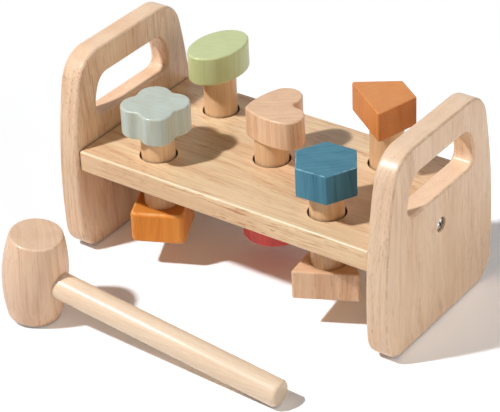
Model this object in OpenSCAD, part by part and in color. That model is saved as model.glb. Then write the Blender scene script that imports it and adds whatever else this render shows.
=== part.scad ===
/* [Board] */
// Length of the board between the end panels
board_length = 220; // [190:1:280]
// Width of the board, front to back
board_width = 117.5; // [108:0.5:124]
// Thickness of the board
board_thickness = 15; // [12:0.5:20]
// Height of the board's top face above the floor
board_top_height = 77.3; // [76:0.1:84]

/* [End panels] */
// Thickness of each end panel
panel_thickness = 15; // [12:0.5:20]
// Height of each end panel
panel_height = 140; // [134:1:170]
// Width of each end panel at its widest
panel_width = 125; // [122:1:150]
// Height of the widest place above the floor
panel_belly_height = 42; // [30:1:60]
// Radius of the curved front and back edges
panel_side_radius = 360; // [250:5:500]
// Corner radius at the foot
panel_foot_radius = 18; // [8:1:22]
// Corner radius at the shoulders
panel_shoulder_radius = 22; // [12:1:26]

/* [Hand slots] */
// Height of the slot's lower edge above the board's top face
slot_lift = 15.7; // [10:0.1:18]
// Height of the slot opening
slot_height = 27.3; // [22:0.1:32]
// Width of the slot at its widest
slot_width = 75; // [60:1:80]
// Radius of the slot's curved sides
slot_side_radius = 35; // [31:1:60]
// Height of the widest place above the slot's lower edge
slot_belly_height = 5.5; // [3:0.1:10]
// Corner radius at the top of the slot
slot_top_radius = 10.5; // [6:0.5:12]
// Corner radius at the bottom of the slot
slot_bottom_radius = 6.5; // [4:0.5:8]

/* [Holes] */
// Gap between a peg's shaft and its hole
hole_gap = 1.15; // [0.8:0.05:1.6]
// Distance of the four outer holes' axes from the ends of the board
hole_end_distance = 45.4; // [43:0.1:52]
// Distance of the four outer holes' axes from the long edges of the board
hole_edge_distance = 24.85; // [22:0.05:30]

/* [Pegs] */
// Diameter of the peg shafts
peg_diameter = 22; // [18:0.1:22.5]
// Bare shaft between the two heads of a peg
peg_reach = 52.75; // [48:0.25:53.5]
// Thickness of every head but the square ones
head_thickness = 20; // [16:0.5:20.5]
// Depth of the glued socket in each head
head_socket_depth = 12; // [6:0.5:14]
// Corner radius of the straight-sided heads
head_corner_radius = 1.5; // [1:0.5:4]
// Height of the flower head's underside above the board
flower_rise = 17.45; // [0:0.05:36]
// Height of the oval head's underside above the board
oval_rise = 28.45; // [0:0.05:36]
// Height of the heart head's underside above the board
heart_rise = 17.95; // [0:0.05:36]
// Height of the hexagon head's underside above the board
hexagon_rise = 16.95; // [0:0.05:36]
// Height of the trapezoid head's underside above the board
trapezoid_rise = 29.7; // [0:0.05:36]

/* [Flower head] */
// Radius of each of the four lobes
flower_lobe_radius = 11.1; // [10:0.1:12.5]
// Distance of the lobe centres from the peg's axis
flower_lobe_distance = 11.1; // [10:0.1:12]
// Radius of the hollow between two lobes
flower_notch_radius = 5; // [3:0.5:8]
// Turn of the flower about its peg
flower_angle = 40; // [0:1:90]

/* [Oval head] */
// Long diameter of the oval
oval_length = 47; // [36:0.5:48]
// Short diameter of the oval
oval_width = 31.8; // [28:0.2:36]
// Turn of the oval's long diameter about its peg
oval_angle = 82; // [0:1:180]

/* [Heart head] */
// Radius of the two lobes
heart_lobe_radius = 11; // [10:0.5:12]
// Distance of the lobe centres in front of the peg's axis
heart_lobe_ahead = 10.2; // [8:0.1:11]
// Distance of the lobe centres to each side of the heart's middle line
heart_lobe_apart = 12.2; // [12:0.1:13]
// Radius of the hollow between the lobes
heart_notch_radius = 3.7; // [3:0.1:6]
// Radius of the gently curved flanks
heart_flank_radius = 50; // [40:1:80]
// Radius at the tip
heart_tip_radius = 5; // [3:0.5:6]
// Distance of the tip from the peg's axis
heart_tip_distance = 15.5; // [15:0.5:18]
// Turn of the heart's middle line about its peg
heart_angle = 37; // [0:1:360]

/* [Hexagon head] */
// Diameter across the corners before they are rounded
hexagon_diameter = 42.8; // [36:0.2:46]
// Turn of the hexagon about its peg
hexagon_angle = 3.5; // [0:0.5:60]

/* [Trapezoid heads] */
// Length of the raised trapezoid's long side before its corners are rounded
trapezoid_long_side = 45.5; // [38:0.1:47]
// Length of the lower trapezoid's long side before its corners are rounded
lower_trapezoid_long_side = 43.5; // [38:0.1:47]
// Length of the short side before its corners are rounded
trapezoid_short_side = 22.8; // [22:0.1:30]
// Distance of the long side from the peg's axis
trapezoid_long_offset = 14.7; // [14:0.1:16]
// Distance of the short side from the peg's axis
trapezoid_short_offset = 15.5; // [14:0.1:18]
// Turn of the raised trapezoid about its peg
trapezoid_angle = 234.5; // [0:0.5:360]
// Turn of the lower trapezoid about its peg
lower_trapezoid_angle = 297; // [0:1:360]

/* [Square and round heads] */
// Thickness of the rounded square heads
square_thickness = 22; // [16:0.5:22.5]
// Side of the rounded square heads
square_side = 35.5; // [32:0.5:38]
// Corner radius of the rounded square heads
square_corner_radius = 4; // [2:0.5:8]
// Turn of the square under the flower
square_angle = 25; // [0:1:90]
// Turn of the square under the trapezoid
back_square_angle = 10; // [0:1:90]
// Diameter of the round heads
disc_diameter = 40; // [34:0.5:44]

/* [Grip rings] */
// Thickness of the rubber grip rings
ring_section = 2.65; // [2.2:0.05:3.5]
// Clearance between a ring and the shaft, and between a ring and its groove
ring_clearance = 0.05; // [0.02:0.01:0.1]
// Clearance above and below a ring in its groove
ring_side_clearance = 0.1; // [0.05:0.01:0.3]

/* [Screws] */
// Diameter of the screw heads
screw_head_diameter = 8; // [6:0.1:8.4]
// Height of the domed screw heads
screw_head_height = 2.4; // [1.8:0.1:2.8]
// Radius of the dome
screw_dome_radius = 9; // [4.8:0.1:12]
// Diameter of the screw shanks
screw_shank_diameter = 4; // [3:0.1:4.5]
// Length of the screws under the head
screw_length = 35; // [25:1:40]
// Width of the cross recess's slots
screw_recess_width = 1.2; // [0.8:0.1:1.6]
// Length of the cross recess's slots
screw_recess_length = 4.8; // [3:0.1:5]
// Depth of the cross recess
screw_recess_depth = 1.6; // [1:0.1:1.8]
// Turn of the cross recess about the screw
screw_recess_angle = 30; // [0:1:90]
// Diameter of the counterbore round each screw head
counterbore_diameter = 10; // [9:0.1:12]
// Depth of the counterbore
counterbore_depth = 3.2; // [3:0.1:6]

/* [Dowels] */
// Diameter of the joining dowels
dowel_diameter = 8; // [6:0.5:9]
// Depth of each dowel in the end of the board
dowel_board_depth = 20; // [12:0.5:24]
// Depth of each dowel in its end panel
dowel_panel_depth = 10; // [6:0.5:11]
// Chamfer on the ends of the dowels
dowel_chamfer = 1; // [0.5:0.1:1.5]
// Distance of the dowels' axes from the long edges of the board
dowel_edge_distance = 23.75; // [14:0.25:36]
// Room past the end of a dowel or a screw in its hole
blind_clearance = 0.5; // [0.2:0.1:1]
// Clearance round a glued dowel, shaft or handle
glue_clearance = 0.05; // [0.02:0.01:0.1]

/* [Mallet] */
// Length of the barrel-shaped mallet head
mallet_length = 61; // [50:1:72]
// Diameter of the mallet head at its ends
mallet_end_diameter = 33.6; // [30:0.2:38]
// Diameter of the mallet head at its middle
mallet_middle_diameter = 42; // [40:0.5:48]
// Rounding of the mallet head's rims
mallet_rim_radius = 2; // [1:0.1:3]
// Diameter of the handle
handle_diameter = 17.5; // [14:0.5:20]
// Distance of the handle's end from the axis of the mallet head
handle_reach = 184; // [150:1:220]
// Depth of the handle's glued socket, from the side of the head
handle_socket_depth = 30; // [20:1:34]
// Chamfer on the handle's free end
handle_chamfer = 1.5; // [0.8:0.1:2.5]
// Distance of the mallet head's axis inside the left end of the bench
mallet_inset = 31.2; // [15:0.1:45]
// Distance of the mallet head's axis in front of the end panels
mallet_ahead = 69.2; // [40:0.1:100]
// Turn of the handle away from the bench's length
mallet_angle = 1.6; // [0:0.1:5]

/* [Hidden] */

// Largest turn and largest chord of one step along a curved outline
arc_turn = 5;
arc_chord = 3;
// How far a cutting shape runs past the face that it opens
overrun = 1;
// Steps round a circle, and round the section of a grip ring
$fn = 96;
ring_section_steps = 32;

beech = [0.90, 0.77, 0.62];
pale_beech = [0.94, 0.84, 0.70];
sage = [0.76, 0.80, 0.74];
green = [0.72, 0.77, 0.48];
blue = [0.35, 0.55, 0.66];
orange = [0.90, 0.60, 0.36];
red = [0.80, 0.26, 0.24];
steel = [0.78, 0.78, 0.76];
rubber = [0.20, 0.20, 0.20];

board_end_x = board_length / 2;

// The five pegs, in the order of the lists below
FLOWER = 0;
OVAL = 1;
HEART = 2;
HEXAGON = 3;
TRAPEZOID = 4;
PEGS = [FLOWER, OVAL, HEART, HEXAGON, TRAPEZOID];
hole_offset_x = board_end_x - hole_end_distance;
hole_offset_y = board_width / 2 - hole_edge_distance;
peg_places = [
    [-hole_offset_x, -hole_offset_y], [-hole_offset_x, hole_offset_y], [0, 0],
    [hole_offset_x, -hole_offset_y], [hole_offset_x, hole_offset_y]
];
peg_rises = [flower_rise, oval_rise, heart_rise, hexagon_rise, trapezoid_rise];

LEFT = -1;
RIGHT = 1;
FRONT = -1;
BACK = 1;

board_mid_height = board_top_height - board_thickness / 2;
slot_bottom_height = board_top_height + slot_lift;
peg_radius = peg_diameter / 2;
hole_radius = peg_radius + hole_gap;
dowel_offset_y = board_width / 2 - dowel_edge_distance;
shaft_length = peg_reach + 2 * head_socket_depth;
ring_middle_radius = peg_radius + ring_clearance + ring_section / 2;
groove_radius = ring_middle_radius + ring_section / 2 + ring_clearance;
groove_height = ring_section + 2 * ring_side_clearance;
screw_seat_x = board_end_x + panel_thickness - counterbore_depth;
screw_dome_sink = screw_dome_radius - sqrt(pow(screw_dome_radius, 2) - pow(screw_head_diameter / 2, 2));
mallet_middle_radius = mallet_middle_diameter / 2;
mallet_end_radius = mallet_end_diameter / 2;
mallet_half_length = mallet_length / 2;
mallet_bulge = mallet_middle_radius - mallet_end_radius;
mallet_side_radius = (pow(mallet_half_length, 2) + pow(mallet_bulge, 2)) / (2 * mallet_bulge);
mallet_side_centre_x = mallet_middle_radius - mallet_side_radius;
mallet_rim_x = mallet_side_centre_x
    + sqrt(pow(mallet_side_radius - mallet_rim_radius, 2) - pow(mallet_half_length - mallet_rim_radius, 2));
handle_radius = handle_diameter / 2;
handle_start_x = mallet_middle_radius - handle_socket_depth;

// The mallet lies on the rim of its head and on the lower edge of its handle's end.
// The line from the middle of the rim's rounding to that edge has this slope and length,
// and the rounding lifts its end of the line off the floor.
rest_run = handle_reach - handle_chamfer - mallet_rim_x;
rest_climb = mallet_half_length - handle_radius - mallet_rim_radius;
rest_span = sqrt(pow(rest_run, 2) + pow(rest_climb, 2));
mallet_tilt = atan2(rest_climb, rest_run) + asin(mallet_rim_radius / rest_span);
mallet_lift = mallet_rim_radius + mallet_rim_x * sin(mallet_tilt) - mallet_rim_radius * cos(mallet_tilt);

// An outline is a ring of circles [x, y, radius], anticlockwise, each joined to the next by
// the line that touches both. A negative radius makes a hollow, and a zero radius a sharp corner.
function middle(circle) = [circle.x, circle.y];
function direction(vector) = atan2(vector.y, vector.x);
function along(angle, distance) = [distance * cos(angle), distance * sin(angle)];
function leaving_angle(from, to) =
    let (step = middle(to) - middle(from), ratio = (from.z - to.z) / norm(step))
    direction(step) - acos(min(1, max(-1, ratio)));
function turn(from, to) = ((to - from) % 360 + 360) % 360;
function arc(circle, from, to) =
    let (
        radius = circle.z,
        sweep = radius < 0 ? -turn(to, from) : turn(from, to),
        length = abs(sweep * radius) * PI / 180,
        steps = ceil(max(abs(sweep) / arc_turn, length / arc_chord))
    )
    radius == 0
        ? [middle(circle)]
        : [for (i = [0:steps]) middle(circle) + along(from + sweep * i / steps, radius)];
function outline(circles) =
    let (n = len(circles))
    [
        for (i = [0:n - 1])
            each arc(
                circles[i],
                leaving_angle(circles[(i + n - 1) % n], circles[i]),
                leaving_angle(circles[i], circles[(i + 1) % n])
            )
    ];

// The place that lies at two given distances from two places, on the left of the way from a to b
function at_distances(a, from_a, b, from_b) =
    let (
        apart = norm(b - a),
        ahead = (pow(apart, 2) + pow(from_a, 2) - pow(from_b, 2)) / (2 * apart),
        aside = sqrt(pow(from_a, 2) - pow(ahead, 2)),
        way = direction(b - a)
    )
    a + along(way, ahead) + along(way + 90, aside);

// The circle that rounds one corner of a polygon
function corner_circle(before, corner, after, radius) =
    let (
        u = (before - corner) / norm(before - corner),
        v = (after - corner) / norm(after - corner),
        half_sine = sqrt((1 - u * v) / 2),
        place = corner + (u + v) / norm(u + v) * radius / half_sine
    )
    [place.x, place.y, radius];
function rounded_polygon(points, radius) =
    let (n = len(points))
    outline([
        for (i = [0:n - 1])
            corner_circle(points[(i + n - 1) % n], points[i], points[(i + 1) % n], radius)
    ]);

// A shape with bulging sides: two corners of one radius below, two of another above
function bulging_outline(width, height, belly, side_radius, low_radius, high_radius) =
    let (
        side_x = width / 2 - side_radius,
        low_rise = belly - low_radius,
        high_rise = height - high_radius - belly,
        low_x = side_x + sqrt(pow(side_radius - low_radius, 2) - pow(low_rise, 2)),
        high_x = side_x + sqrt(pow(side_radius - high_radius, 2) - pow(high_rise, 2))
    )
    outline([
        [low_x, low_radius, low_radius],
        [side_x, belly, side_radius],
        [high_x, height - high_radius, high_radius],
        [-high_x, height - high_radius, high_radius],
        [-side_x, belly, side_radius],
        [-low_x, low_radius, low_radius]
    ]);

function flower_outline() =
    let (
        reach = flower_lobe_radius + flower_notch_radius,
        half_gap = flower_lobe_distance * sin(45),
        notch_distance = flower_lobe_distance * cos(45) + sqrt(pow(reach, 2) - pow(half_gap, 2))
    )
    outline([
        for (i = [0:3])
            each [
                concat(along(90 * i, flower_lobe_distance), flower_lobe_radius),
                concat(along(90 * i + 45, notch_distance), -flower_notch_radius)
            ]
    ]);

function oval_outline() = [
    for (angle = [0:arc_turn:360 - arc_turn])
        [oval_length / 2 * cos(angle), oval_width / 2 * sin(angle)]
];

function heart_outline() =
    let (
        tip = [heart_tip_radius - heart_tip_distance, 0],
        right_lobe = [heart_lobe_ahead, -heart_lobe_apart],
        left_lobe = [heart_lobe_ahead, heart_lobe_apart],
        flank_to_tip = heart_flank_radius - heart_tip_radius,
        flank_to_lobe = heart_flank_radius - heart_lobe_radius,
        right_flank = at_distances(tip, flank_to_tip, right_lobe, flank_to_lobe),
        left_flank = at_distances(left_lobe, flank_to_lobe, tip, flank_to_tip),
        lobe_to_notch = heart_lobe_radius + heart_notch_radius,
        notch = at_distances(left_lobe, lobe_to_notch, right_lobe, lobe_to_notch)
    )
    outline([
        concat(tip, heart_tip_radius),
        concat(right_flank, heart_flank_radius),
        concat(right_lobe, heart_lobe_radius),
        concat(notch, -heart_notch_radius),
        concat(left_lobe, heart_lobe_radius),
        concat(left_flank, heart_flank_radius)
    ]);

function hexagon_outline() =
    rounded_polygon([for (i = [0:5]) along(60 * i, hexagon_diameter / 2)], head_corner_radius);

function trapezoid_outline(long_side) =
    rounded_polygon(
        [
            [trapezoid_long_offset, -long_side / 2],
            [trapezoid_long_offset, long_side / 2],
            [-trapezoid_short_offset, trapezoid_short_side / 2],
            [-trapezoid_short_offset, -trapezoid_short_side / 2]
        ],
        head_corner_radius
    );

function square_outline() =
    let (half = square_side / 2)
    rounded_polygon([[half, -half], [half, half], [-half, half], [-half, -half]], square_corner_radius);

// Turns a shape built along +Z so that it points outwards through the left or the right panel
module towards_end(side) {
    rotate([0, side * 90, 0]) children();
}

module along_screw(side) {
    translate([side * screw_seat_x, 0, board_mid_height]) towards_end(side) children();
}

module along_dowel(side, row) {
    translate([side * board_end_x, row * dowel_offset_y, board_mid_height]) towards_end(side) children();
}

module at_peg(peg) {
    translate(concat(peg_places[peg], board_top_height + peg_rises[peg])) children();
}

module dowel_hole() {
    total = dowel_board_depth + dowel_panel_depth + 2 * blind_clearance;
    translate([0, 0, -dowel_board_depth - blind_clearance])
        cylinder(h = total, r = dowel_diameter / 2 + glue_clearance);
}

module screw_hole() {
    depth = screw_length + blind_clearance;
    translate([0, 0, -depth]) cylinder(h = depth + overrun, r = screw_shank_diameter / 2 + glue_clearance);
    cylinder(h = counterbore_depth + overrun, r = counterbore_diameter / 2);
}

module board() {
    color(pale_beech)
        difference() {
            translate([-board_end_x, -board_width / 2, board_top_height - board_thickness])
                cube([board_length, board_width, board_thickness]);
            for (peg = PEGS)
                translate(concat(peg_places[peg], board_mid_height)) {
                    cylinder(h = board_thickness + overrun, r = hole_radius, center = true);
                    cylinder(h = groove_height, r = groove_radius, center = true);
                }
            for (side = [LEFT, RIGHT]) {
                along_screw(side) screw_hole();
                for (row = [FRONT, BACK])
                    along_dowel(side, row) dowel_hole();
            }
        }
}

module panel_slab(side) {
    translate([side > 0 ? board_end_x : -board_end_x - panel_thickness, 0, 0])
        rotate([90, 0, 90])
            linear_extrude(height = panel_thickness)
                polygon(bulging_outline(
                    panel_width, panel_height, panel_belly_height,
                    panel_side_radius, panel_foot_radius, panel_shoulder_radius
                ));
}

module hand_slot(side) {
    depth = panel_thickness + 2 * overrun;
    translate([side * (board_end_x + panel_thickness / 2) - depth / 2, 0, slot_bottom_height])
        rotate([90, 0, 90])
            linear_extrude(height = depth)
                polygon(bulging_outline(
                    slot_width, slot_height, slot_belly_height,
                    slot_side_radius, slot_bottom_radius, slot_top_radius
                ));
}

module end_panel(side) {
    color(beech)
        difference() {
            panel_slab(side);
            hand_slot(side);
            along_screw(side) screw_hole();
            for (row = [FRONT, BACK])
                along_dowel(side, row) dowel_hole();
        }
}

// The dome is a cap of a ball, cut off flat at the head's height and at its diameter
module screw_dome() {
    dome_bottom = screw_head_height - screw_dome_sink;
    cylinder(h = dome_bottom, r = screw_head_diameter / 2);
    intersection() {
        translate([0, 0, screw_head_height - screw_dome_radius]) sphere(r = screw_dome_radius);
        translate([0, 0, dome_bottom]) cylinder(h = screw_dome_sink + overrun, r = screw_head_diameter / 2);
    }
}

module screw(side) {
    shank_radius = screw_shank_diameter / 2;
    color(steel)
        along_screw(side) {
            difference() {
                screw_dome();
                for (angle = [screw_recess_angle, screw_recess_angle + 90])
                    rotate([0, 0, angle])
                        translate([
                            -screw_recess_length / 2, -screw_recess_width / 2,
                            screw_head_height - screw_recess_depth
                        ])
                            cube([screw_recess_length, screw_recess_width, screw_recess_depth + overrun]);
            }
            rotate_extrude()
                polygon([
                    [0, -screw_length], [shank_radius, screw_shank_diameter - screw_length],
                    [shank_radius, 0], [0, 0]
                ]);
        }
}

module dowel(side, row) {
    radius = dowel_diameter / 2;
    color(pale_beech)
        along_dowel(side, row)
            rotate_extrude()
                polygon([
                    [0, -dowel_board_depth], [radius - dowel_chamfer, -dowel_board_depth],
                    [radius, dowel_chamfer - dowel_board_depth], [radius, dowel_panel_depth - dowel_chamfer],
                    [radius - dowel_chamfer, dowel_panel_depth], [0, dowel_panel_depth]
                ]);
}

module grip_ring(peg) {
    color(rubber)
        translate(concat(peg_places[peg], board_mid_height))
            rotate_extrude()
                translate([ring_middle_radius, 0]) circle(r = ring_section / 2, $fn = ring_section_steps);
}

module shaft(peg) {
    color(pale_beech)
        at_peg(peg)
            translate([0, 0, head_socket_depth - shaft_length]) cylinder(h = shaft_length, r = peg_radius);
}

// The head above the board, with its glued socket open at the underside
module upper_head(peg, points, angle, paint) {
    color(paint)
        at_peg(peg)
            difference() {
                rotate([0, 0, angle]) linear_extrude(height = head_thickness) polygon(points);
                translate([0, 0, -overrun])
                    cylinder(h = head_socket_depth + overrun, r = peg_radius + glue_clearance);
            }
}

// The head under the board, with its glued socket open at the top
module lower_head(peg, thickness, angle, paint) {
    color(paint)
        at_peg(peg)
            translate([0, 0, -peg_reach])
                difference() {
                    translate([0, 0, -thickness]) rotate([0, 0, angle]) children();
                    translate([0, 0, -head_socket_depth])
                        cylinder(h = head_socket_depth + overrun, r = peg_radius + glue_clearance);
                }
}

module square_block() {
    linear_extrude(height = square_thickness) polygon(square_outline());
}

module trapezoid_block() {
    linear_extrude(height = head_thickness) polygon(trapezoid_outline(lower_trapezoid_long_side));
}

module round_block() {
    cylinder(h = head_thickness, r = disc_diameter / 2);
}

// Stands the mallet in its resting place: the head's axis is +Z and the handle points along +X
module lay_mallet() {
    translate([
        mallet_inset - board_end_x - panel_thickness,
        -panel_width / 2 - mallet_ahead,
        mallet_lift
    ])
        rotate([0, mallet_tilt, mallet_angle]) children();
}

module mallet_head() {
    color(beech)
        lay_mallet()
            difference() {
                rotate_extrude()
                    polygon(outline([
                        [0, 0, 0],
                        [mallet_rim_x, mallet_rim_radius, mallet_rim_radius],
                        [mallet_side_centre_x, mallet_half_length, mallet_side_radius],
                        [mallet_rim_x, mallet_length - mallet_rim_radius, mallet_rim_radius],
                        [0, mallet_length, 0]
                    ]));
                translate([handle_start_x, 0, mallet_half_length])
                    rotate([0, 90, 0])
                        cylinder(h = handle_socket_depth + overrun, r = handle_radius + glue_clearance);
            }
}

module mallet_handle() {
    handle_length = handle_reach - handle_start_x;
    color(pale_beech)
        lay_mallet()
            translate([handle_start_x, 0, mallet_half_length])
                rotate([0, 90, 0])
                    rotate_extrude()
                        polygon([
                            [0, 0], [handle_radius, 0], [handle_radius, handle_length - handle_chamfer],
                            [handle_radius - handle_chamfer, handle_length], [0, handle_length]
                        ]);
}

board();
end_panel(LEFT);  // left_panel
end_panel(RIGHT);  // right_panel
screw(LEFT);  // left_screw
screw(RIGHT);  // right_screw
dowel(LEFT, FRONT);  // left_front_dowel
dowel(LEFT, BACK);  // left_back_dowel
dowel(RIGHT, FRONT);  // right_front_dowel
dowel(RIGHT, BACK);  // right_back_dowel
grip_ring(FLOWER);  // flower_ring
grip_ring(OVAL);  // oval_ring
grip_ring(HEART);  // heart_ring
grip_ring(HEXAGON);  // hexagon_ring
grip_ring(TRAPEZOID);  // trapezoid_ring
shaft(FLOWER);  // flower_shaft
shaft(OVAL);  // oval_shaft
shaft(HEART);  // heart_shaft
shaft(HEXAGON);  // hexagon_shaft
shaft(TRAPEZOID);  // trapezoid_shaft
upper_head(FLOWER, flower_outline(), flower_angle, sage);  // flower_head
upper_head(OVAL, oval_outline(), oval_angle, green);  // oval_head
upper_head(HEART, heart_outline(), heart_angle, beech);  // heart_head
upper_head(HEXAGON, hexagon_outline(), hexagon_angle, blue);  // hexagon_head
upper_head(TRAPEZOID, trapezoid_outline(trapezoid_long_side), trapezoid_angle, orange);  // trapezoid_head
lower_head(FLOWER, square_thickness, square_angle, orange) square_block();  // flower_lower_head
lower_head(OVAL, head_thickness, 0, blue) round_block();  // oval_lower_head
lower_head(HEART, head_thickness, 0, red) round_block();  // heart_lower_head
lower_head(HEXAGON, head_thickness, lower_trapezoid_angle, beech) trapezoid_block();  // hexagon_lower_head
lower_head(TRAPEZOID, square_thickness, back_square_angle, green) square_block();  // trapezoid_lower_head
mallet_head();
mallet_handle();
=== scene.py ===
import math

import bpy
from mathutils import Euler, Matrix, Vector

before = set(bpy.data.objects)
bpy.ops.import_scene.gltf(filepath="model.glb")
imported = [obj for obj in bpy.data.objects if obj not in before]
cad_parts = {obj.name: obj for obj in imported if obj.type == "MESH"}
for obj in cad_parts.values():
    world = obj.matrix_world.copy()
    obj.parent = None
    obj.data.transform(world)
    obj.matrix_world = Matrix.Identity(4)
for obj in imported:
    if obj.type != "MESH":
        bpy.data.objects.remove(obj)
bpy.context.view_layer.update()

MM = 0.001
WHITE = (1.0, 1.0, 1.0, 1.0)

# Camera: its place, aim and lens were worked out from the photograph's vanishing lines
CAMERA_PLACE = Vector((684.1, -939.2, 770.4)) * MM
CAMERA_AZIMUTH = math.radians(36.845)
CAMERA_ELEVATION = math.radians(31.28)
CAMERA_ROLL = math.radians(-2.542)
CAMERA_LENS = 153.72
CAMERA_SENSOR = 36.0
CAMERA_SHIFT = (0.00415, -0.05962)
CAMERA_CLIP = (0.05, 50.0)


def make_camera():
    data = bpy.data.cameras.new("camera")
    data.sensor_width = CAMERA_SENSOR
    data.lens = CAMERA_LENS
    data.shift_x, data.shift_y = CAMERA_SHIFT
    data.clip_start, data.clip_end = CAMERA_CLIP
    sin_a, cos_a = math.sin(CAMERA_AZIMUTH), math.cos(CAMERA_AZIMUTH)
    sin_e, cos_e = math.sin(CAMERA_ELEVATION), math.cos(CAMERA_ELEVATION)
    ahead = Vector((-sin_a * cos_e, cos_a * cos_e, -sin_e))
    level = Vector((cos_a, sin_a, 0.0))
    upright = level.cross(ahead)
    right = level * math.cos(CAMERA_ROLL) + upright * math.sin(CAMERA_ROLL)
    up = upright * math.cos(CAMERA_ROLL) - level * math.sin(CAMERA_ROLL)
    camera = bpy.data.objects.new("camera", data)
    turn = Matrix((right, up, -ahead)).transposed().to_4x4()
    camera.matrix_world = Matrix.Translation(CAMERA_PLACE) @ turn
    bpy.context.scene.collection.objects.link(camera)
    bpy.context.scene.camera = camera


# Node trees


def srgb(red, green, blue):
    """A display colour, each part from 0 to 255, as the linear colour that a node takes."""
    parts = []
    for value in (red, green, blue):
        value /= 255
        parts.append(value / 12.92 if value <= 0.04045 else ((value + 0.055) / 1.055) ** 2.4)
    return (*parts, 1.0)


class Graph:
    """The node tree of a new material, world or node group, built with one short call per node."""

    def __init__(self, owner):
        self.owner = self.tree = owner
        if not isinstance(owner, bpy.types.NodeTree):
            owner.use_nodes = True
            self.tree = owner.node_tree
        self.tree.nodes.clear()

    def node(self, kind, inputs, **settings):
        made = self.tree.nodes.new(kind)
        for key, value in settings.items():
            setattr(made, key, value)
        for key, value in inputs.items():
            if isinstance(value, bpy.types.NodeSocket):
                self.tree.links.new(value, made.inputs[key])
            else:
                made.inputs[key].default_value = value
        return made

    def math(self, operation, *values):
        inputs = dict(enumerate(values))
        return self.node("ShaderNodeMath", inputs, operation=operation).outputs[0]

    def vector(self, operation, *values):
        inputs = dict(enumerate(values))
        made = self.node("ShaderNodeVectorMath", inputs, operation=operation)
        return made.outputs[1 if operation in ("DOT_PRODUCT", "LENGTH", "DISTANCE") else 0]

    def noise(self, place, scale=1.0, detail=2.0, roughness=0.5, output="Fac"):
        inputs = {"Vector": place, "Scale": scale, "Detail": detail, "Roughness": roughness}
        return self.node("ShaderNodeTexNoise", inputs).outputs[output]

    def between(self, value, low, high, to_low=0.0, to_high=1.0):
        """Eases from to_low, at low and below, to to_high, at high and above. Where low is more
        than high, it is to_low at low and above, and to_high at high and below."""
        inputs = {
            "Value": value, "From Min": low, "From Max": high, "To Min": to_low, "To Max": to_high,
        }
        made = self.node("ShaderNodeMapRange", inputs, interpolation_type="SMOOTHSTEP")
        return made.outputs["Result"]

    def mix(self, share, first, second, blend="MIX"):
        inputs = {0: share, 6: first, 7: second}
        made = self.node("ShaderNodeMix", inputs, data_type="RGBA", blend_type=blend)
        return made.outputs[2]

    def grey(self, value):
        return self.node("ShaderNodeCombineXYZ", {0: value, 1: value, 2: value}).outputs[0]

    def brighten(self, colour, amount):
        """The colour times one plus an amount that varies over the surface."""
        return self.mix(1.0, colour, self.grey(self.math("ADD", amount, 1.0)), "MULTIPLY")

    def normal(self):
        return self.node("ShaderNodeTexCoord", {}).outputs["Normal"]

    def place_in(self, origin, turn):
        """The rest place in millimetres, in a frame that stands at origin and has this turn."""
        inputs = {
            "Vector": self.node("ShaderNodeTexCoord", {}).outputs["Object"],
            "Location": Vector(origin) * MM, "Rotation": turn, "Scale": (MM, MM, MM),
        }
        return self.node("ShaderNodeMapping", inputs, vector_type="TEXTURE").outputs["Vector"]

    def edges(self, axis):
        """Near 1 on the rounding between a flat end of a shape and the sides along the axis."""
        slope = self.math("ABSOLUTE", self.vector("DOT_PRODUCT", self.normal(), axis))
        rise, fall = self.between(slope, *EDGE_RISE), self.between(slope, *EDGE_FALL)
        return self.math("MULTIPLY", rise, fall)

    def openness(self, reach, samples):
        """1 in the open, and less the more other surfaces stand within reach, in millimetres."""
        inputs = {"Distance": reach * MM}
        return self.node("ShaderNodeAmbientOcclusion", inputs, samples=samples).outputs["AO"]

    def bump(self, height, strength, depth):
        """The normal of a surface whose height spans this depth, in millimetres."""
        inputs = {"Height": height, "Strength": strength, "Distance": depth * MM}
        return self.node("ShaderNodeBump", inputs).outputs[0]

    def seen(self):
        """1 for rays that show the surface, straight, mirrored or through glass, and else 0."""
        path = self.node("ShaderNodeLightPath", {}).outputs
        mirrored = self.math("MAXIMUM", path["Is Camera Ray"], path["Is Glossy Ray"])
        return self.math("MAXIMUM", mirrored, path["Is Transmission Ray"])

    def finish(self, shader, output="ShaderNodeOutputMaterial"):
        self.node(output, {"Surface": shader.outputs[0]})
        return self.owner


# Turns that lay a texture's long axis, its local X, along an axis of the object
ALONG_X = (0.0, 0.0, 0.0)
ALONG_Z = (0.0, -math.pi / 2, 0.0)

# Cells of each noise in a millimetre, along the grain and twice across it
BEND_CELLS = (0.005, 0.02, 0.02)
PATCH_CELLS = (0.01, 0.09, 0.09)
FIGURE_CELLS = (0.006, 0.1, 0.1)
FIBRE_CELLS = (0.03, 1.0, 1.0)
STREAK_CELLS = (0.035, 0.85, 0.85)
PORE_CELLS = (0.13, 1.7, 1.7)
TONE_CELLS = (0.012, 0.03, 0.03)
WEAR_AND_HIGHLIGHT_CELLS = (0.15, 0.15, 0.15)
# The same for the layers, along the grain and across the rings
LAYERS_ALONG, LAYERS_ACROSS = 0.012, 0.9

# From where to where in its noise, or in its ring, each mark of the grain grows to full strength
RING_RISE, RING_FALL = (0.35, 0.93), (1.0, 0.95)
LAYER_RANGE = (0.44, 0.68)
FIGURE_RANGE = (0.38, 0.66)
STREAK_RANGE = (0.54, 0.69)
PORE_RANGE = (0.60, 0.72)
BLUSH_RANGE = (0.45, 0.65)
# Rings, streaks and pores come in patches: the range, and the strength outside and inside them
RING_PATCHES = (0.3, 0.7, 0.3, 1.0)
STREAK_PATCHES = (0.38, 0.62, 0.2, 1.0)
PORE_PATCHES = (0.4, 0.62, 0.3, 1.0)
# The same for how squarely a face cuts the grain: its marks, and the tone and painted light of a
# cut end
CROSSCUT = (0.5, 0.92, 1.0, 0.15)
END_FACES = (0.8, 0.98)
# How far a normal turns towards an end of the shape where the rounding starts, and where it ends
EDGE_RISE, EDGE_FALL = (0.45, 0.7), (0.99, 0.9)

NOISE_MIDDLE = 0.5
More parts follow.
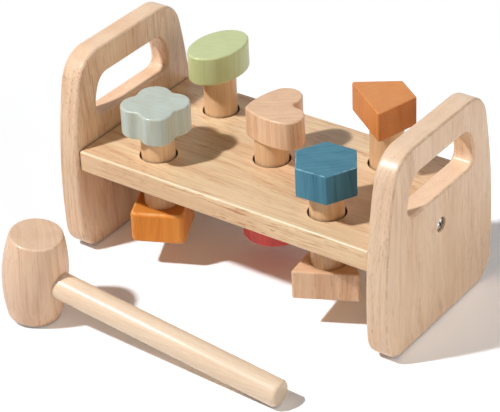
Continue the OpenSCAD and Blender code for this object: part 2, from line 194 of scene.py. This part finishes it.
# How far the grain bends, in millimetres
BEND = (0.0, 16.0, 16.0)
BLUSH_SHARE = 0.3
END_CONTRAST = 0.5
PORE_DARKNESS = 0.5
PORE_TINT = (0.68, 0.56, 0.48, 1.0)
FIBRE_HEIGHT, PORE_DEPTH = 0.6, 0.8
GRAIN_BUMP, GRAIN_DEPTH = 0.5, 0.05
WOOD_ROUGHNESS = 0.45
FIBRE_ROUGHNESS = 0.25
TONE_ROUGHNESS = (0.35, 0.65, -0.04, 0.05)
WOOD_AO_SAMPLES = 6


def wood(name, light, dark, turn=ALONG_Z, origin=(0, 0, 0), pith=(112.0, 84.0), ring_gap=4.5,
         rings=0.2, layers=0.3, figure=0.3, streaks=0.4, fibres=0.12, pores=0.4, blush=None,
         wear_and_highlight=None, wear_and_highlight_share=0.35, patches=(0.35, 0.7), ends=(0, 0, 1), end_tone_and_painted_light=0.0,
         painted_shade=0.6, creases=(0.1, 0.8), reach=5.0, specular=0.5, coat=0.5, coat_roughness=0.2):
    """A solid wood, cut by every face of the piece as real wood is: long fibres along the local
    X axis, growth rings round a pith beside it, thin dark streaks and short dark pores. The
    numbers from rings to pores are the strengths of those marks. Blush is a third colour, in
    broad patches. wear_and_highlight is the colour of the edges round the ends, which face
    along the axis named ends: partly rubbed wear and partly a painted highlight on the rims.
    wear_and_highlight_share and patches are its strength and its range. Cut ends are
    end_tone_and_painted_light brighter: partly the tone of end grain, and partly painted light
    on the tops, turned to painted shade where it is below 0. painted_shade is painted shade:
    how much darker the surface is where others stand within reach, in millimetres, and
    creases the range of openness over which it fades."""
    g = Graph(bpy.data.materials.new(name))
    place = g.place_in(origin, turn)

    def grain(at, cells, **settings):
        return g.noise(g.vector("MULTIPLY", at, cells), **settings)

    wander = g.vector("SUBTRACT", grain(place, BEND_CELLS, output="Color"), (NOISE_MIDDLE,) * 3)
    bent = g.vector("ADD", place, g.vector("MULTIPLY", wander, BEND))
    beside = g.vector("SUBTRACT", bent, (0.0, *pith))
    radius = g.vector("LENGTH", g.vector("MULTIPLY", beside, (0.0, 1.0, 1.0)))
    phase = g.math("FRACT", g.math("DIVIDE", radius, ring_gap))
    patchy = grain(place, PATCH_CELLS)
    late = g.math("MULTIPLY", g.between(phase, *RING_RISE), g.between(phase, *RING_FALL))
    late = g.math("MULTIPLY", late, g.between(patchy, *RING_PATCHES))

    distance = g.node("ShaderNodeSeparateXYZ", {0: place}).outputs[0]
    unrolled = g.node("ShaderNodeCombineXYZ", {
        0: g.math("MULTIPLY", distance, LAYERS_ALONG), 1: g.math("MULTIPLY", radius, LAYERS_ACROSS),
    }).outputs[0]
    sheet = g.between(g.noise(unrolled, detail=3.0, roughness=0.65), *LAYER_RANGE)
    broad = grain(bent, FIGURE_CELLS, detail=3.0, roughness=0.55)
    fine = grain(bent, FIBRE_CELLS, detail=4.0, roughness=0.6)
    fibre = g.math("SUBTRACT", fine, NOISE_MIDDLE)
    thin = g.between(grain(bent, STREAK_CELLS, detail=2.5, roughness=0.65), *STREAK_RANGE)
    thin = g.math("MULTIPLY", thin, g.between(patchy, *STREAK_PATCHES))
    pore = g.between(grain(place, PORE_CELLS, detail=1.0), *PORE_RANGE)
    pore = g.math("MULTIPLY", pore, g.between(patchy, *PORE_PATCHES))
    slow = grain(place, TONE_CELLS, detail=1.5)

    # Pores and streaks open along the grain, and close up where the wood is cut across it
    lengthwise = Vector((1, 0, 0))
    lengthwise.rotate(Euler(turn))
    facing = g.math("ABSOLUTE", g.vector("DOT_PRODUCT", g.normal(), lengthwise))
    flank = g.between(facing, *CROSSCUT)
    pore = g.math("MULTIPLY", pore, flank)
    thin = g.math("MULTIPLY", thin, flank)

    share = g.between(broad, *FIGURE_RANGE, 0.0, figure)
    for mark, strength in ((late, rings), (thin, streaks), (sheet, layers)):
        share = g.math("ADD", share, g.math("MULTIPLY", mark, strength))
    # A cut end shows less of the grain's contrast
    contrast = g.math("ADD", g.math("MULTIPLY", flank, 1 - END_CONTRAST), END_CONTRAST)
    share = g.math("MULTIPLY", share, contrast)
    colour = g.mix(share, light, dark)
    if blush:
        colour = g.mix(g.between(slow, *BLUSH_RANGE, 0.0, BLUSH_SHARE), colour, blush)
    colour = g.brighten(colour, g.math("MULTIPLY", fibre, fibres * 2))
    open_pore = g.mix(1.0, g.mix(PORE_DARKNESS, colour, dark), PORE_TINT, "MULTIPLY")
    colour = g.mix(g.math("MULTIPLY", pore, pores), colour, open_pore)
    # Cut ends, such as the tops: partly end-grain tone, partly painted light, turned to painted
    # shade below 0
    if end_tone_and_painted_light:
        colour = g.brighten(colour, g.between(facing, *END_FACES, 0.0, end_tone_and_painted_light))
    # Painted shade: darker where other surfaces stand within reach
    open_air = g.openness(reach, WOOD_AO_SAMPLES)
    colour = g.brighten(colour, g.between(open_air, *creases, -painted_shade, 0.0))
    # Edges round the ends: partly rubbed wear, partly a painted highlight
    edge_patchiness = grain(place, WEAR_AND_HIGHLIGHT_CELLS, detail=4.0, roughness=0.65)
    worn_and_highlit = g.math("MULTIPLY", g.edges(ends), g.between(edge_patchiness, *patches, 0.0, wear_and_highlight_share))
    colour = g.mix(worn_and_highlit, colour, wear_and_highlight or light)

    raised = g.math("MULTIPLY", fine, FIBRE_HEIGHT)
    height = g.math("SUBTRACT", raised, g.math("MULTIPLY", pore, PORE_DEPTH))
    rough = g.math("ADD", g.math("MULTIPLY", fibre, FIBRE_ROUGHNESS), WOOD_ROUGHNESS)
    return g.finish(g.node("ShaderNodeBsdfPrincipled", {
        "Base Color": colour, "Normal": g.bump(height, GRAIN_BUMP, GRAIN_DEPTH),
        "Roughness": g.math("ADD", rough, g.between(slow, *TONE_ROUGHNESS)),
        "Specular IOR Level": specular, "Coat Weight": coat, "Coat Roughness": coat_roughness,
    }))


def nickel(name):
    """Plated steel with fine turning marks, some dull patches, and painted shade in its low places.
    """
    g = Graph(bpy.data.materials.new(name))
    bright, dull, painted_recess_shade = srgb(244, 242, 240), srgb(222, 218, 214), srgb(60, 54, 50)
    place = g.place_in((0, 0, 0), ALONG_X)
    scuff = g.noise(place, scale=2.2, detail=5.0, roughness=0.7)
    dullness = g.between(g.noise(place, scale=0.5), 0.35, 0.7)
    # Painted shade: the recess colour where other surfaces stand close
    outside = g.between(g.openness(reach=1.2, samples=8), 0.45, 0.9)
    return g.finish(g.node("ShaderNodeBsdfPrincipled", {
        "Base Color": g.mix(outside, painted_recess_shade, g.mix(dullness, bright, dull)), "Metallic": 1.0,
        "Roughness": g.between(scuff, 0.3, 0.7, to_low=0.2, to_high=0.38),
        "Normal": g.bump(scuff, strength=0.4, depth=0.02),
    }))


def rubber(name):
    """Black rubber, matte and gritty, with a little pale dust."""
    g = Graph(bpy.data.materials.new(name))
    black, dusty = srgb(42, 40, 38), srgb(74, 68, 62)
    place = g.place_in((0, 0, 0), ALONG_X)
    grit = g.noise(place, scale=3.0, detail=4.0, roughness=0.7)
    dust = g.between(g.noise(place, scale=0.4, detail=3.0), 0.4, 0.7)
    return g.finish(g.node("ShaderNodeBsdfPrincipled", {
        "Base Color": g.mix(dust, black, dusty),
        "Roughness": g.between(grit, 0.3, 0.7, to_low=0.6, to_high=0.85),
        "Normal": g.bump(grit, strength=0.5, depth=0.05),
    }))


# Materials of the CAD nodes

BEECH = dict(light=srgb(252, 224, 183), dark=srgb(202, 134, 86), blush=srgb(240, 194, 152))
VARNISH = dict(coat=0.35, coat_roughness=0.3, specular=0.4)
DEEP_SHADE = dict(painted_shade=0.9, creases=(0.15, 0.66), reach=50.0)
# Panels: tops painted lighter, partly end-grain tone and partly painted light
PANEL = dict(
    ends=(1, 0, 0), end_tone_and_painted_light=0.12, wear_and_highlight_share=0.45, ring_gap=5.5, rings=0.12, figure=0.2,
    pores=0.55, **VARNISH,
)
# Where the wear colour is paler than the wood, it is partly a painted highlight on the rims
MATERIALS = {
    # The board: a pale painted highlight along its edges, and painted shade round its holes and
    # joints
    "board": wood(
        "varnished board", **BEECH, wear_and_highlight=srgb(255, 236, 206), wear_and_highlight_share=0.6, patches=(0.15, 0.5),
        turn=ALONG_X, pith=(12.0, -8.0), ring_gap=5.0, rings=0.15, layers=0.25, figure=0.25,
        streaks=0.65, fibres=0.16, pores=0.6, painted_shade=0.97, creases=(0.05, 0.45), **VARNISH,
    ),
    # A darker line along the panel's edges
    "end_panels": wood(
        "varnished right panel", light=srgb(243, 213, 183), dark=srgb(206, 160, 120),
        blush=srgb(236, 197, 165), wear_and_highlight=srgb(172, 122, 84), pith=(30.0, 160.0), fibres=0.17,
        **PANEL,
    ),
    "screws": nickel("plated screws"),
    "dowels": wood("beech dowels", turn=ALONG_X, **BEECH),
    "grip_rings": rubber("rubber rings"),
    "peg_shafts": wood(
        "beech shafts", light=srgb(238, 202, 160), dark=srgb(204, 148, 104), rings=0.15,
        layers=0.25, figure=0.25, streaks=0.3, pores=0.25, painted_shade=0.0, specular=0.35, coat=0.25,
    ),
    "sage_stain": wood(
        "sage stain", light=srgb(201, 214, 206), dark=srgb(174, 173, 148),
        wear_and_highlight=srgb(232, 234, 220), wear_and_highlight_share=0.6, layers=0.2, figure=0.4, streaks=0.12,
        fibres=0.06, pores=0.12, coat=0.4,
    ),
    "green_stain": wood(
        "green stain", light=srgb(211, 222, 164), dark=srgb(184, 194, 114),
        wear_and_highlight=srgb(232, 236, 184), wear_and_highlight_share=0.6, layers=0.15, figure=0.25, streaks=0.1,
        fibres=0.05, pores=0.1, coat=0.4,
    ),
    # Painted shade in the creases where the heads meet the shafts
    "beech_heads": wood(
        "pink beech heads", light=srgb(246, 206, 169), dark=srgb(208, 148, 104), layers=0.35,
        streaks=0.25, pores=0.6, painted_shade=0.9, creases=(0.15, 0.85), coat=0.3,
    ),
    "blue_stain": wood(
        "blue stain", light=srgb(94, 150, 173), dark=srgb(48, 100, 122),
        wear_and_highlight=srgb(176, 224, 236), wear_and_highlight_share=0.9, layers=0.35, streaks=0.12, fibres=0.14,
        pores=0.35, specular=0.1, coat=0.0, **DEEP_SHADE,
    ),
    "orange_stain": wood(
        "orange stain", light=srgb(238, 158, 88), dark=srgb(210, 106, 36),
        wear_and_highlight=srgb(248, 190, 130), layers=0.25, figure=0.2, streaks=0.2, fibres=0.08, pores=0.2,
        specular=0.3, coat=0.2, **DEEP_SHADE,
    ),
    "red_stain": wood(
        "red stain", light=srgb(244, 84, 78), dark=srgb(212, 56, 56), wear_and_highlight=srgb(244, 140, 124),
        streaks=0.25, fibres=0.08, pores=0.2, coat=0.15,
    ),
    # Their cut ends are darker: partly end-grain tone, partly painted shade
    "mallet_head": wood(
        "beech mallet head", light=srgb(242, 208, 177), dark=srgb(208, 150, 112),
        wear_and_highlight=srgb(250, 224, 198), wear_and_highlight_share=0.6, end_tone_and_painted_light=-0.08, pith=(-320.0, 260.0),
        rings=0.12, layers=0.35, pores=0.45, specular=0.4, coat=0.3,
    ),
    "mallet_handle": wood(
        "maple handle", light=srgb(250, 226, 198), dark=srgb(232, 190, 152), turn=ALONG_X,
        wear_and_highlight=srgb(222, 180, 146), ends=(1, 0, 0), end_tone_and_painted_light=-0.3, rings=0.12, layers=0.2,
        figure=0.2, streaks=0.2, pores=0.12, coat=0.35, coat_roughness=0.16,
    ),
}
# Two pieces whose colour isn't quite that of the others in their slots: the amber head, whose top
# also gets painted shade under the board, and the left panel, a darker, more streaked copy of the
# panel wood that partly paints the shade its inner face stands in, with a painted highlight on its
# pale edges
OWN_MATERIALS = {
    "flower_lower_head": wood(
        "amber stain", light=srgb(242, 158, 68), dark=srgb(222, 122, 38),
        wear_and_highlight=srgb(250, 204, 146), wear_and_highlight_share=0.6, end_tone_and_painted_light=-0.1, streaks=0.15, fibres=0.08,
        pores=0.15, painted_shade=0.5, creases=(0.1, 0.5), reach=30.0, specular=0.3, coat=0.1,
    ),
    "left_panel": wood(
        "varnished left panel", light=srgb(246, 214, 181), dark=srgb(190, 126, 80),
        blush=srgb(230, 180, 142), wear_and_highlight=srgb(250, 226, 204), origin=(-117.5, 0, 0),
        pith=(-20.0, 170.0), streaks=0.6, fibres=0.22, **PANEL,
    ),
}


def dress_nodes():
    for name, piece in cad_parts.items():
        for holder in piece.material_slots:
            holder.material = OWN_MATERIALS.get(name, MATERIALS[holder.name])


# Rounding of outer edges. Lengths are in millimetres.

WELD_DISTANCE = 0.005
FLAT_ANGLE = math.radians(0.3)
SHARP_ANGLE = math.radians(30)
LARGE_FACE_WEIGHT = 80
# Each peg's axis, to the right of the bench's middle and behind it
PEG_AXES = {
    "flower": (-64.6, -33.9), "oval": (-64.6, 33.9), "heart": (0, 0),
    "hexagon": (64.6, -33.9), "trapezoid": (64.6, 33.9),
}
HEAD_ROUNDING = {"flower": 1.4, "oval": 1.4, "heart": 1.4, "hexagon": 1.0, "trapezoid": 1.0}
LOWER_HEAD_ROUNDING = {"flower": 2.6, "oval": 1.4, "heart": 1.4, "hexagon": 1.2, "trapezoid": 2.6}
PANEL_ROUNDING = 2.1
BOARD_ROUNDING = 1.8
HANDLE_ROUNDING = 1.0
# At each end of the board, a screw in the middle and a dowel on each side of it lie along X
BORE_HEIGHT = 69.8
SCREW_AXIS = (0, 0.0, BORE_HEIGHT)
DOWEL_AXES = [(0, y, BORE_HEIGHT) for y in (-35.0, 35.0)]
# Where edges lie: how far a head's outline, a hole's rim and a bore are from their axis
HEAD_OUTLINE = (12.0, 60.0)
HOLE_RIM = (11.5, 12.6)
BORE = (0.0, 6.0)
# The heights between which the grooves of the grip rings lie
GROOVES = (64.0, 76.0)
# How far from the bench's middle the faces of the board and the free end of the handle are
BOARD_SIDE = (58.0, 59.0)
BOARD_END = (109.5, 110.5)
HANDLE_END = (50.0, 100.0)
ANYWHERE = (-1.0, 1000.0)
# Shares of the full rounding that some edges get
RIM_SHARE = 0.35
COUNTERBORE_SHARE = 0.12
BOARD_END_SHARE = 0.75


def edge_weights(name, rules):
    """A node group that marks which edges the bevel rounds, and how much. Each rule is (measure,
    low, high, share), in millimetres: sharp edges whose measure lies between low and high get
    that share of the rounding, and the last rule that fits wins. A measure is the index of a
    coordinate, taken without its sign, or (index, place, place): the distance from a line along
    that coordinate through those places on the other two."""
    group = bpy.data.node_groups.new(name, "GeometryNodeTree")
    for way in ("INPUT", "OUTPUT"):
        group.interface.new_socket("Geometry", in_out=way, socket_type="NodeSocketGeometry")
    g = Graph(group)
    angle = g.node("GeometryNodeInputMeshEdgeAngle", {}).outputs["Unsigned Angle"]
    sharp = g.math("GREATER_THAN", angle, SHARP_ANGLE)
    position = g.node("GeometryNodeInputPosition", {}).outputs[0]
    parts = g.node("ShaderNodeSeparateXYZ", {0: position}).outputs
    weight = 0.0
    for measure, low, high, share in rules:
        if isinstance(measure, tuple):
            others = [part for index, part in enumerate(parts) if index != measure[0]]
            away = [g.math("SUBTRACT", part, at * MM) for part, at in zip(others, measure[1:])]
            squares = [g.math("MULTIPLY", part, part) for part in away]
            measured = g.math("SQRT", g.math("ADD", *squares))
        else:
            measured = g.math("ABSOLUTE", parts[measure])
        above = g.math("GREATER_THAN", measured, low * MM)
        below = g.math("LESS_THAN", measured, high * MM)
        change = g.math("SUBTRACT", share, weight)
        change = g.math("MULTIPLY", g.math("MULTIPLY", above, below), change)
        weight = g.math("ADD", weight, change)
    start = g.node("NodeGroupInput", {}).outputs[0]
    inputs = {"Geometry": start, "Name": "custom_normal"}
    plain = g.node("GeometryNodeRemoveAttribute", inputs).outputs[0]
    smooth = g.node("GeometryNodeSetShadeSmooth", {"Geometry": plain}).outputs[0]
    weight = g.math("MULTIPLY", weight, sharp)
    inputs = {"Geometry": smooth, "Name": "bevel_weight_edge", "Value": weight}
    marked = g.node("GeometryNodeStoreNamedAttribute", inputs, data_type="FLOAT", domain="EDGE")
    g.node("NodeGroupOutput", {0: marked.outputs[0]})
    return group


def soften(node, radius, *rules, segments=4):
    """Rounds a CAD node's marked edges with modifiers, which leave its mesh as it is."""
    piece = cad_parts[node]
    weld = piece.modifiers.new("weld", "WELD")
    weld.merge_threshold = WELD_DISTANCE * MM
    merge = piece.modifiers.new("merge flat faces", "DECIMATE")
    merge.decimate_type = "DISSOLVE"
    merge.angle_limit = FLAT_ANGLE
    mark = piece.modifiers.new("mark edges", "NODES")
    mark.node_group = edge_weights("edges of " + node, rules)
    bevel = piece.modifiers.new("round edges", "BEVEL")
    bevel.width = radius * MM
    bevel.segments = segments
    bevel.limit_method = "WEIGHT"
    bevel.harden_normals = False
    bevel.loop_slide = False
    bevel.use_clamp_overlap = False
    even = piece.modifiers.new("even shading", "WEIGHTED_NORMAL")
    even.weight = LARGE_FACE_WEIGHT
    even.keep_sharp = False


def soften_nodes():
    for peg, axis in PEG_AXES.items():
        outline = ((2, *axis), *HEAD_OUTLINE, 1.0)
        soften(peg + "_head", HEAD_ROUNDING[peg], outline)
        soften(peg + "_lower_head", LOWER_HEAD_ROUNDING[peg], outline)
    sharp_bores = [(axis, *BORE, 0.0) for axis in DOWEL_AXES]
    for side in ("left", "right"):
        counterbore = (SCREW_AXIS, *BORE, COUNTERBORE_SHARE)
        soften(side + "_panel", PANEL_ROUNDING, (0, *ANYWHERE, 1.0), counterbore, *sharp_bores)
    rims = [((2, *axis), *HOLE_RIM, RIM_SHARE) for axis in PEG_AXES.values()]
    soften(
        "board", BOARD_ROUNDING, *rims, (2, *GROOVES, 0.0), (1, *BOARD_SIDE, 1.0),
        (0, *BOARD_END, BOARD_END_SHARE), (SCREW_AXIS, *BORE, 0.0), *sharp_bores,
    )
    soften("mallet_handle", HANDLE_ROUNDING, (0, *HANDLE_END, 1.0), segments=3)


# Stage and light

# Half the side of the floor, in metres
FLOOR_REACH = 6.0
# How much brighter the paper looks than it lights the object, and what it adds to its shadows
FLOOR_GAIN = (1.48, 1.57, 1.69, 1.0)
FLOOR_LIFT = (0.02, 0.01, 0.008, 1.0)
# The key lamp's light falls off with the square of its distance, and with its slant
FALL_OFF = 3.0
# The paper turns to plain white between these distances from its middle, in millimetres
FLOOR_MIDDLE = (20.0, 0.0, 0.0)
FLOOR_FADE = (110.0, 400.0)
WORLD_COLOUR = (1.0, 0.96, 0.92, 1.0)
WORLD_STRENGTH = 0.02
KEY_AIM = (-125.34, 51.6)
KEY_DISTANCE = 1.779
# Each lamp's azimuth from +X and elevation, distance and side in metres, watts and colour
LAMPS = {
    "key": (*KEY_AIM, KEY_DISTANCE, 0.1, 25.4, (1.0, 0.985, 0.97)),
    "right": (-6.0, 15.0, 1.2, 0.9, 6.1, (1.0, 0.95, 0.89)),
    "back": (55.0, 41.0, 1.3, 0.8, 1.7, (1.0, 0.98, 0.96)),
}


def towards(azimuth, elevation):
    """The way that points from the middle to a lamp."""
    a, e = math.radians(azimuth), math.radians(elevation)
    return Vector((math.cos(a) * math.cos(e), math.sin(a) * math.cos(e), math.sin(e)))


def paper(name):
    """White paper. Where it is seen, it is white up to the horizon, apart from its shadows."""
    g = Graph(bpy.data.materials.new(name))
    place = g.place_in((0, 0, 0), ALONG_X)
    faint = g.noise(place, scale=0.05, detail=3.0)
    colour = g.mix(faint, srgb(240, 238, 236), srgb(244, 243, 241))
    matte = g.node("ShaderNodeBsdfDiffuse", {"Color": colour})
    distance = g.vector("DISTANCE", place, towards(*KEY_AIM) * KEY_DISTANCE / MM)
    fall_off = g.math("POWER", g.math("DIVIDE", distance, KEY_DISTANCE / MM), FALL_OFF)
    gain = g.mix(1.0, FLOOR_GAIN, g.grey(fall_off), "MULTIPLY")
    bright = g.node("ShaderNodeBsdfDiffuse", {"Color": g.mix(1.0, colour, gain, "MULTIPLY")})
    lift = g.node("ShaderNodeEmission", {"Color": FLOOR_LIFT, "Strength": 1.0})
    near = g.node("ShaderNodeAddShader", {0: bright.outputs[0], 1: lift.outputs[0]})
    far = g.node("ShaderNodeEmission", {"Color": WHITE, "Strength": 1.0})
    fade = g.between(g.vector("LENGTH", g.vector("SUBTRACT", place, FLOOR_MIDDLE)), *FLOOR_FADE)
    shown = g.node("ShaderNodeMixShader", {0: fade, 1: near.outputs[0], 2: far.outputs[0]})
    inputs = {0: g.seen(), 1: matte.outputs[0], 2: shown.outputs[0]}
    return g.finish(g.node("ShaderNodeMixShader", inputs))


def make_floor():
    signs = ((-1, -1), (1, -1), (1, 1), (-1, 1))
    corners = [(x * FLOOR_REACH, y * FLOOR_REACH, 0) for x, y in signs]
    mesh = bpy.data.meshes.new("floor")
    mesh.from_pydata(corners, [], [(0, 1, 2, 3)])
    mesh.materials.append(paper("white paper"))
    floor = bpy.data.objects.new("floor", mesh)
    bpy.context.scene.collection.objects.link(floor)


def make_world():
    g = Graph(bpy.data.worlds.new("studio"))
    around = g.node("ShaderNodeBackground", {"Color": WORLD_COLOUR, "Strength": WORLD_STRENGTH})
    shown = g.node("ShaderNodeBackground", {"Color": WHITE, "Strength": 1.0})
    inputs = {0: g.seen(), 1: around.outputs[0], 2: shown.outputs[0]}
    both = g.node("ShaderNodeMixShader", inputs)
    bpy.context.scene.world = g.finish(both, "ShaderNodeOutputWorld")


def make_lamp(name, azimuth, elevation, distance, size, power, colour):
    data = bpy.data.lights.new(name, "AREA")
    data.energy, data.color, data.size = power, colour, size
    lamp = bpy.data.objects.new(name, data)
    lamp.location = towards(azimuth, elevation) * distance
    lamp.rotation_euler = towards(azimuth, elevation).to_track_quat("Z", "Y").to_euler()
    bpy.context.scene.collection.objects.link(lamp)


dress_nodes()
soften_nodes()
make_camera()
make_floor()
make_world()
for lamp_name, settings in LAMPS.items():
    make_lamp(lamp_name, *settings)

bpy.context.scene.view_settings.view_transform = "Standard"
